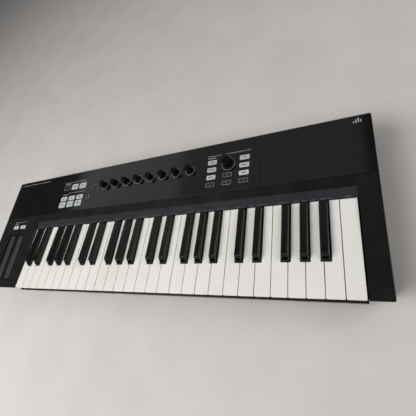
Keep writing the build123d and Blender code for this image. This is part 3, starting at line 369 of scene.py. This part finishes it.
def turned(base, axis, profile, flutes=0, flute_depth=0.0, flute_rows=(), steps=96):
    """Solid of revolution from a (radius, height) profile in mm, with flutes on some rows."""
    axis = Vector(axis).normalized()
    side = Vector((1, 0, 0))
    other = axis.cross(side)
    verts, faces = [], []
    for row, (radius, height) in enumerate(profile):
        for step in range(steps):
            turn = 2 * pi * step / steps
            cut = flute_depth * (0.5 - 0.5 * cos(flutes * turn)) if row in flute_rows else 0.0
            reach = (radius - cut) * MM
            around = side * (reach * cos(turn)) + other * (reach * sin(turn))
            verts.append(base + around + axis * (height * MM))
    for row in range(len(profile) - 1):
        for step in range(steps):
            nxt = (step + 1) % steps
            faces.append((row * steps + step, row * steps + nxt, (row + 1) * steps + nxt,
                          (row + 1) * steps + step))
    last = (len(profile) - 1) * steps
    faces.append(tuple(range(last, last + steps)))
    faces.append(tuple(reversed(range(steps))))
    return verts, faces


def knob_profile(radius, height, waist):
    """A low skirt, a fluted grip and a dished top."""
    grip = radius - waist
    return [(radius - 0.3, 0.8), (radius, 1.1), (radius, 1.8), (grip, 2.2), (grip, 2.6),
            (grip - 0.05, height - 1.9), (grip - 0.1, height - 1.3), (grip - 0.35, height - 0.45),
            (grip - 0.9, height - 0.08), (grip - 1.5, height), (grip - 2.0, height - 0.12),
            (grip - 3.0, height - 0.3), (1.2, height - 0.38)]


GRIP_ROWS = (4, 5)           # rows of the profile that carry the flutes
FLUTE_DEPTH = 0.3
KNOB_FLUTES, DIAL_FLUTES, STEPS_PER_FLUTE = 24, 36, 8


def knob_cap(name, node, radius, waist, flutes):
    """Cap on a knob's joint, in place of the plain CAD knob."""
    joint = joints[f"{node}_turn"]
    verts, faces = turned(Vector(joint["pos_m"]), joint["axis"], knob_profile(radius, CAP_HEIGHT, waist),
                          flutes, FLUTE_DEPTH, GRIP_ROWS, flutes * STEPS_PER_FLUTE)
    return piece(name, verts, faces, knob_plastic, node, smooth=True)


for number in range(1, KNOB_COUNT + 1):
    cap = knob_cap(f"knob_cap_{number}", f"knob_{number}", KNOB_RADIUS, KNOB_WAIST, KNOB_FLUTES)
    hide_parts(f"knob_{number}")
dial_cap = knob_cap("browse_dial_cap", "browse_dial", DIAL_RADIUS, DIAL_WAIST, DIAL_FLUTES)
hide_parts("browse_dial")

# Light rings in the panel around the knobs and the dial
RING_WIDTH, RING_LIFT, RING_HEIGHT = 0.7, -0.05, 0.2
KNOB_RING, DIAL_RING = KNOB_RADIUS + 2.0, DIAL_RADIUS + 2.2
KNOB_RING_STEPS, DIAL_RING_STEPS = 64, 80


def ring(x, v, radius, steps):
    return disc(x, v, radius, steps), disc(x, v, radius - RING_WIDTH, steps)


rings = [ring(KNOB_X + i * KNOB_PITCH, KNOB_V, KNOB_RING, KNOB_RING_STEPS) for i in range(KNOB_COUNT)]
rings.append(ring(DIAL_X, DIAL_V, DIAL_RING, DIAL_RING_STEPS))
verts, faces = raised(panel, [], rings, RING_LIFT, RING_HEIGHT)
piece("light_rings", verts, faces, ring_plastic, "root")


def printed(name, face, outlines, rings, lift, ink, body):
    """One piece of flat marks on a face."""
    verts, faces = raised(face, outlines, rings, lift, PRINT)
    return piece(name, verts, faces, ink, body)


# Printed lines, and the bars that stand in for their captions
LINE, CAPTION = 0.6, 1.4     # thickness of a line and of a caption's bar
lines = [bar(93.5, 75.5, 70.0, LINE), bar(106.0, 46.8, 50.0, LINE), bar(455.7, 74.4, 28.4, LINE),
         bar(502.1, 74.4, 45.0, LINE)]
printed("panel_lines", panel, lines, [], 0.0, line_ink, "root")
labels = [bar(69.0, 72.2, 16.0, CAPTION), bar(72.0, 43.8, 17.0, CAPTION), bar(451.0, 70.0, 15.0, CAPTION)]
labels += [disc(485.4, 67.9, 1.1), disc(151.5, 31.5, 1.2)]
printed("panel_labels", panel, labels, [], 0.0, print_bright, "root")
octave_marks = [bar(-63.8, 13.5, 46.0, LINE), bar(-79.0, 9.6, 14.0, CAPTION)]
printed("octave_print", octave_deck, octave_marks, [], 0.0, print_bright, "root")

# Marks at the rear edge of the panel: a thin pale line on the left, a row of level bars on the right
REAR_MARK_V = 91.0
LEVELS, LEVEL_X, LEVEL_PITCH, LEVEL_WIDTH, LEVEL_FOOT = (3.0, 6.0, 9.0, 5.0), 686.0, 3.2, 1.6, 4.0
marks = [bar(-60.0, REAR_MARK_V, 112.0, 0.8)]
marks += [bar(LEVEL_X + LEVEL_PITCH * i, REAR_MARK_V - LEVEL_FOOT + level / 2, LEVEL_WIDTH, level)
          for i, level in enumerate(LEVELS)]
printed("rear_marks", panel, marks, [], 0.0, print_bright, "root")

# Marks on the buttons
OUTLINE_INSET, OUTLINE_WIDTH = 0.3, 0.7
OUTLINE_CORNERS = (0.9, 0.5)


def outline(x, v, size):
    """Frame line just inside a button's edge."""
    inner_inset = OUTLINE_INSET + OUTLINE_WIDTH
    outer = rounded(x, v, size[0] - 2 * OUTLINE_INSET, size[1] - 2 * OUTLINE_INSET, OUTLINE_CORNERS[0])
    inner = rounded(x, v, size[0] - 2 * inner_inset, size[1] - 2 * inner_inset, OUTLINE_CORNERS[1])
    return outer, inner


dark_frames = [outline(LEFT_COLUMNS[0], MODE_V, MODE_SIZE)] + [outline(x, v, PAGE_SIZE) for x, v in PAGES]
dark_frames.append(outline(*PRESET, PRESET_SIZE))
printed("function_frames", panel, [], dark_frames, BUTTON_PROUD, print_ink, "function_keypad")
nav_places = [(x, RIGHT_ROWS[0]) for x in RIGHT_COLUMNS] + [(RIGHT_COLUMNS[1], RIGHT_ROWS[1])]
NAV_ARROW, NAV_TURNS = 1.6, (180, 270, 0, 90)
nav_arrows = [arrow(x, v, NAV_ARROW, turn) for (x, v), turn in zip(nav_places, NAV_TURNS)]
nav_frames = [outline(x, v, RIGHT_SIZE) for x, v in nav_places]
printed("navigation_frames", panel, nav_arrows, nav_frames, BUTTON_PROUD, print_ink, "navigation_keypad")

left, middle, right = LEFT_COLUMNS
SKIP, SKIP_STEP = 2.3, 1.6   # size of a skip arrow, and its place beside the middle
icons = [bar(middle, MODE_V, 10.0, 1.8), bar(right, MODE_V, 9.0, 1.8)]
icons += [arrow(middle, RECORD_V, 2.4, 0), disc(right, RECORD_V, 2.1)]
icons += [arrow(x + step, PLAY_V, SKIP, turn) for x, turn in ((left, 180), (middle, 0))
          for step in (-SKIP_STEP, SKIP_STEP)]
icons += [bar(right, PLAY_V, 4.2, 4.2)]
loop = [(rounded(left, RECORD_V, 7.6, 4.4, 2.0), rounded(left, RECORD_V, 6.0, 2.8, 1.2))]
printed("function_icons", panel, icons, loop, BUTTON_PROUD, icon_ink, "function_keypad")
ICON_WIDTHS, ICON_HEIGHT = (8.5, 11.0, 10.0, 9.0, 10.5, 7.0), 1.7
transport = [(x, v) for x in (RIGHT_COLUMNS[0], RIGHT_COLUMNS[2]) for v in RIGHT_ROWS[1:]]
captions = [bar(x, v, width, ICON_HEIGHT) for (x, v), width in zip(transport, ICON_WIDTHS)]
printed("transport_icons", panel, captions, [], BUTTON_PROUD, icon_ink, "transport_keypad")
SIGN_LONG, SIGN_THICK = 3.6, 0.9
minus_x, plus_x = OCTAVES[0][0], OCTAVES[1][0]
signs = [bar(minus_x, 0, SIGN_LONG, SIGN_THICK), bar(plus_x, 0, SIGN_LONG, SIGN_THICK),
         bar(plus_x, 0, SIGN_THICK, SIGN_LONG)]
printed("octave_icons", octave_deck, signs, [], BUTTON_PROUD, icon_ink, "octave_keypad")

# One small light window for each of the 49 semitones, along the guide's front edge
BLACK_LINES = ((1, -2.0), (2, 2.4), (4, -3.2), (5, -0.3), (6, 2.9))
WINDOW_V, WINDOW_SIZE, WINDOW_CORNER = 2.0, (8.0, 2.2), 0.8
GUIDE_LINE_V, GUIDE_LINE = 4.0, 0.35
windows = [(index + 0.5) * PITCH for index in range(WHITE_COUNT)]
windows += [(octave * KEYS_PER_OCTAVE + line) * PITCH + offset
            for octave in range(OCTAVE_COUNT) for line, offset in BLACK_LINES]
window_marks = [rounded(x, WINDOW_V, *WINDOW_SIZE, WINDOW_CORNER) for x in windows]
printed("guide_windows", guide, window_marks, [], 0.0, led_window, "root")
guide_line = bar(WHITE_COUNT * PITCH / 2, GUIDE_LINE_V, WHITE_COUNT * PITCH, GUIDE_LINE)
printed("guide_line", guide, [guide_line], [], 0.0, seam_shadow, "root")

# Touch strips: shallow troughs, their section as (across, lift) in mm from the deck
strip_low, strip_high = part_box("touch_strips")
STRIP_HALF, STRIP_FOOT, STRIP_BEVEL = 7.75, -2.2, 0.5
TROUGH = ((-7.75, -1.2), (-7.5, -0.85), (-7.0, -0.7), (-6.2, -0.75), (-4.5, -1.15), (-2.5, -1.5),
          (0.0, -1.62), (2.5, -1.5), (4.5, -1.15), (6.2, -0.75), (7.0, -0.7), (7.5, -0.85), (7.75, -1.2))
section = TROUGH + ((STRIP_HALF, STRIP_FOOT), (-STRIP_HALF, STRIP_FOOT))
slant = octave_deck.back.y
strip_v = [(y - octave_deck.origin.y) / slant / MM for y in (strip_low[1], strip_high[1])]
strip_x = [(edge - keys_x0) / MM for edge in (strip_low[0], strip_high[0])]
# Rows along a strip, as (v, drop): the ends are bevelled
strip_rows = ((strip_v[0], STRIP_BEVEL), (strip_v[0] + STRIP_BEVEL, 0.0),
              (strip_v[1] - STRIP_BEVEL, 0.0), (strip_v[1], STRIP_BEVEL))


def strip_solid(centre, first):
    """One trough around a middle line; its vertices are numbered from first."""
    count = len(section)
    verts, faces = [], []
    for v, drop in strip_rows:
        verts += [octave_deck.at(centre + dx, v, max(lift - drop, STRIP_FOOT)) for dx, lift in section]
    for row in range(len(strip_rows) - 1):
        low = first + row * count
        for i in range(count):
            j = (i + 1) % count
            faces.append((low + i, low + j, low + count + j, low + count + i))
    last = first + (len(strip_rows) - 1) * count
    faces.append(tuple(reversed(range(first, first + count))))
    faces.append(tuple(range(last, last + count)))
    return verts, faces


verts, faces = [], []
for centre in (strip_x[0] + STRIP_HALF, strip_x[1] - STRIP_HALF):
    more_verts, more_faces = strip_solid(centre, len(verts))
    verts += more_verts
    faces += more_faces
trough = piece("touch_strip_troughs", verts, faces, strip_plastic, "root")
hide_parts("touch_strips")

# A near-black sheet on the floor of their recess: painted shade in the recess
RECESS_SIDE, RECESS_LONG, RECESS_FLOOR, SHEET_GAP = 7.2, 4.0, -2.2, 0.1
recess_x, recess_v = sum(strip_x) / 2, sum(strip_v) / 2
shade_sheet = bar(recess_x, recess_v, strip_x[1] - strip_x[0] + 2 * RECESS_SIDE - 2 * SHEET_GAP,
            strip_v[1] - strip_v[0] + 2 * RECESS_LONG - 2 * SHEET_GAP)
printed("recess_shade_sheet", octave_deck, [shade_sheet], [], RECESS_FLOOR, painted_recess_shade, "root")

# Rear sockets: V down from their middle line
sockets_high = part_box("rear_sockets")[1]
rear = Face((0, sockets_high[1], joints["power_switch_rock"]["pos_m"][2]), (0, 1, 0))
NUT_RADIUS, NUT_BORE, NUT_HEIGHT, NUT_STEPS = 5.2, 3.3, 0.25, 48
PIN_CIRCLE, PIN_RADIUS, PIN_TURNS, PIN_STEPS = 3.9, 0.75, (0, 45, 90, 135, 180), 20
DC_PIN_RADIUS, DC_PIN_STEPS = 0.95, 24
nuts = [(disc(x, 0, NUT_RADIUS, NUT_STEPS), disc(x, 0, NUT_BORE, NUT_STEPS)) for x in JACKS]
verts, faces = raised(rear, [], nuts, 0.0, NUT_HEIGHT)
piece("jack_nuts", verts, faces, nickel, "root")
pins = [disc(x + PIN_CIRCLE * cos(radians(turn)), PIN_CIRCLE * sin(radians(turn)), PIN_RADIUS, PIN_STEPS)
        for x in DINS for turn in PIN_TURNS]
pins.append(disc(DC_X, 0, DC_PIN_RADIUS, DC_PIN_STEPS))
printed("socket_contacts", rear, pins, [], 0.0, nickel, "root")
SHELL_DEPTH, SHELL_LENGTH = 6.0, 6.1
shell = (rounded(USB_X, 0, 9.0, 8.4, 0.6), rounded(USB_X, 0, 8.4, 7.8, 0.4))
verts, faces = raised(rear, [], [shell], -SHELL_DEPTH, SHELL_LENGTH)
piece("usb_shell", verts, faces, nickel, "root")

# ------------------------------------------------------------------ stage
FLOOR = 6.0                  # half the floor's side
floor_corners = [(-FLOOR, -FLOOR, 0), (FLOOR, -FLOOR, 0), (FLOOR, FLOOR, 0), (-FLOOR, FLOOR, 0)]
floor_mesh = bpy.data.meshes.new("floor")
floor_mesh.from_pydata(floor_corners, [], [(0, 1, 2, 3)])
floor = bpy.data.objects.new("floor", floor_mesh)
bpy.context.scene.collection.objects.link(floor)
floor_paper = plastic("floor_paper", (0.60, 0.575, 0.55), (0.64, 0.615, 0.59), (0.7, 0.8), 300.0, 0.00005)
floor_mesh.materials.append(floor_paper)


def softbox(name, place, target, size, power, colour=(1, 1, 1)):
    light = bpy.data.lights.new(name, "AREA")
    light.shape = "RECTANGLE"
    light.size, light.size_y = size
    light.energy = power
    light.color = colour
    obj = bpy.data.objects.new(name, light)
    bpy.context.scene.collection.objects.link(obj)
    obj.location = place
    obj.rotation_euler = (Vector(target) - Vector(place)).to_track_quat("-Z", "Y").to_euler()


# Two lights on the keys, two weak ones that the glossy panel mirrors, and one for the rear
WARM, COOL = (1.0, 0.985, 0.965), (0.96, 0.98, 1.0)
softbox("key_light", (-0.72, -0.85, 1.5), (-0.2, -0.02, 0.05), (1.5, 1.1), 34.5, WARM)
softbox("fill_light", (1.5, 0.15, 1.15), (0.2, 0.05, 0.05), (0.9, 0.9), 9, WARM)
softbox("left_sheen", (-1.51, 0.95, 1.5), (-1.51, 0.95, 0), (1.22, 0.75), 1.6, COOL)
softbox("right_sheen", (-0.225, 0.95, 1.5), (-0.225, 0.95, 0), (1.35, 0.75), 0.83, COOL)
softbox("rear_light", (0.6, 1.7, 0.35), (0.2, 0.13, 0.05), (0.9, 0.5), 3.0)

# Surroundings: dark above, so that the top stays black, and a pale horizon for the sides
world = bpy.data.worlds.new("studio")
bpy.context.scene.world = world
world.use_nodes = True
sky = world.node_tree
direction = sky.nodes.new("ShaderNodeTexCoord")
height = sky.nodes.new("ShaderNodeSeparateXYZ")
sky.links.new(direction.outputs["Generated"], height.inputs["Vector"])
HORIZON_GLOW, TOP_GLOW = 0.42, 0.06
GLOW_START, GLOW_END = 0.10, 0.34       # heights of the unit view direction
glow = span(sky, height.outputs["Z"], HORIZON_GLOW, TOP_GLOW, GLOW_START, GLOW_END)
sky.links.new(glow, sky.nodes["Background"].inputs["Strength"])
sky.nodes["Background"].inputs["Color"].default_value = (0.97, 0.97, 1.0, 1)

# Camera: at the player's right, above and a little in front of the keys
camera_data = bpy.data.cameras.new("camera")
camera_data.sensor_width = 36.0
camera_data.lens = 26.467
camera = bpy.data.objects.new("camera", camera_data)
bpy.context.scene.collection.objects.link(camera)
camera_right = Vector((0.88966, 0.12119, -0.44025))
camera_up = Vector((0.09346, 0.89540, 0.43534))
camera_back = Vector((0.44696, -0.42845, 0.78528))
turn = Matrix((camera_right, camera_up, camera_back)).transposed()
camera.matrix_world = Matrix.Translation((0.3932, -0.2149, 0.4761)) @ turn.to_4x4()
bpy.context.scene.camera = camera
bpy.context.scene.view_settings.view_transform = "Standard"
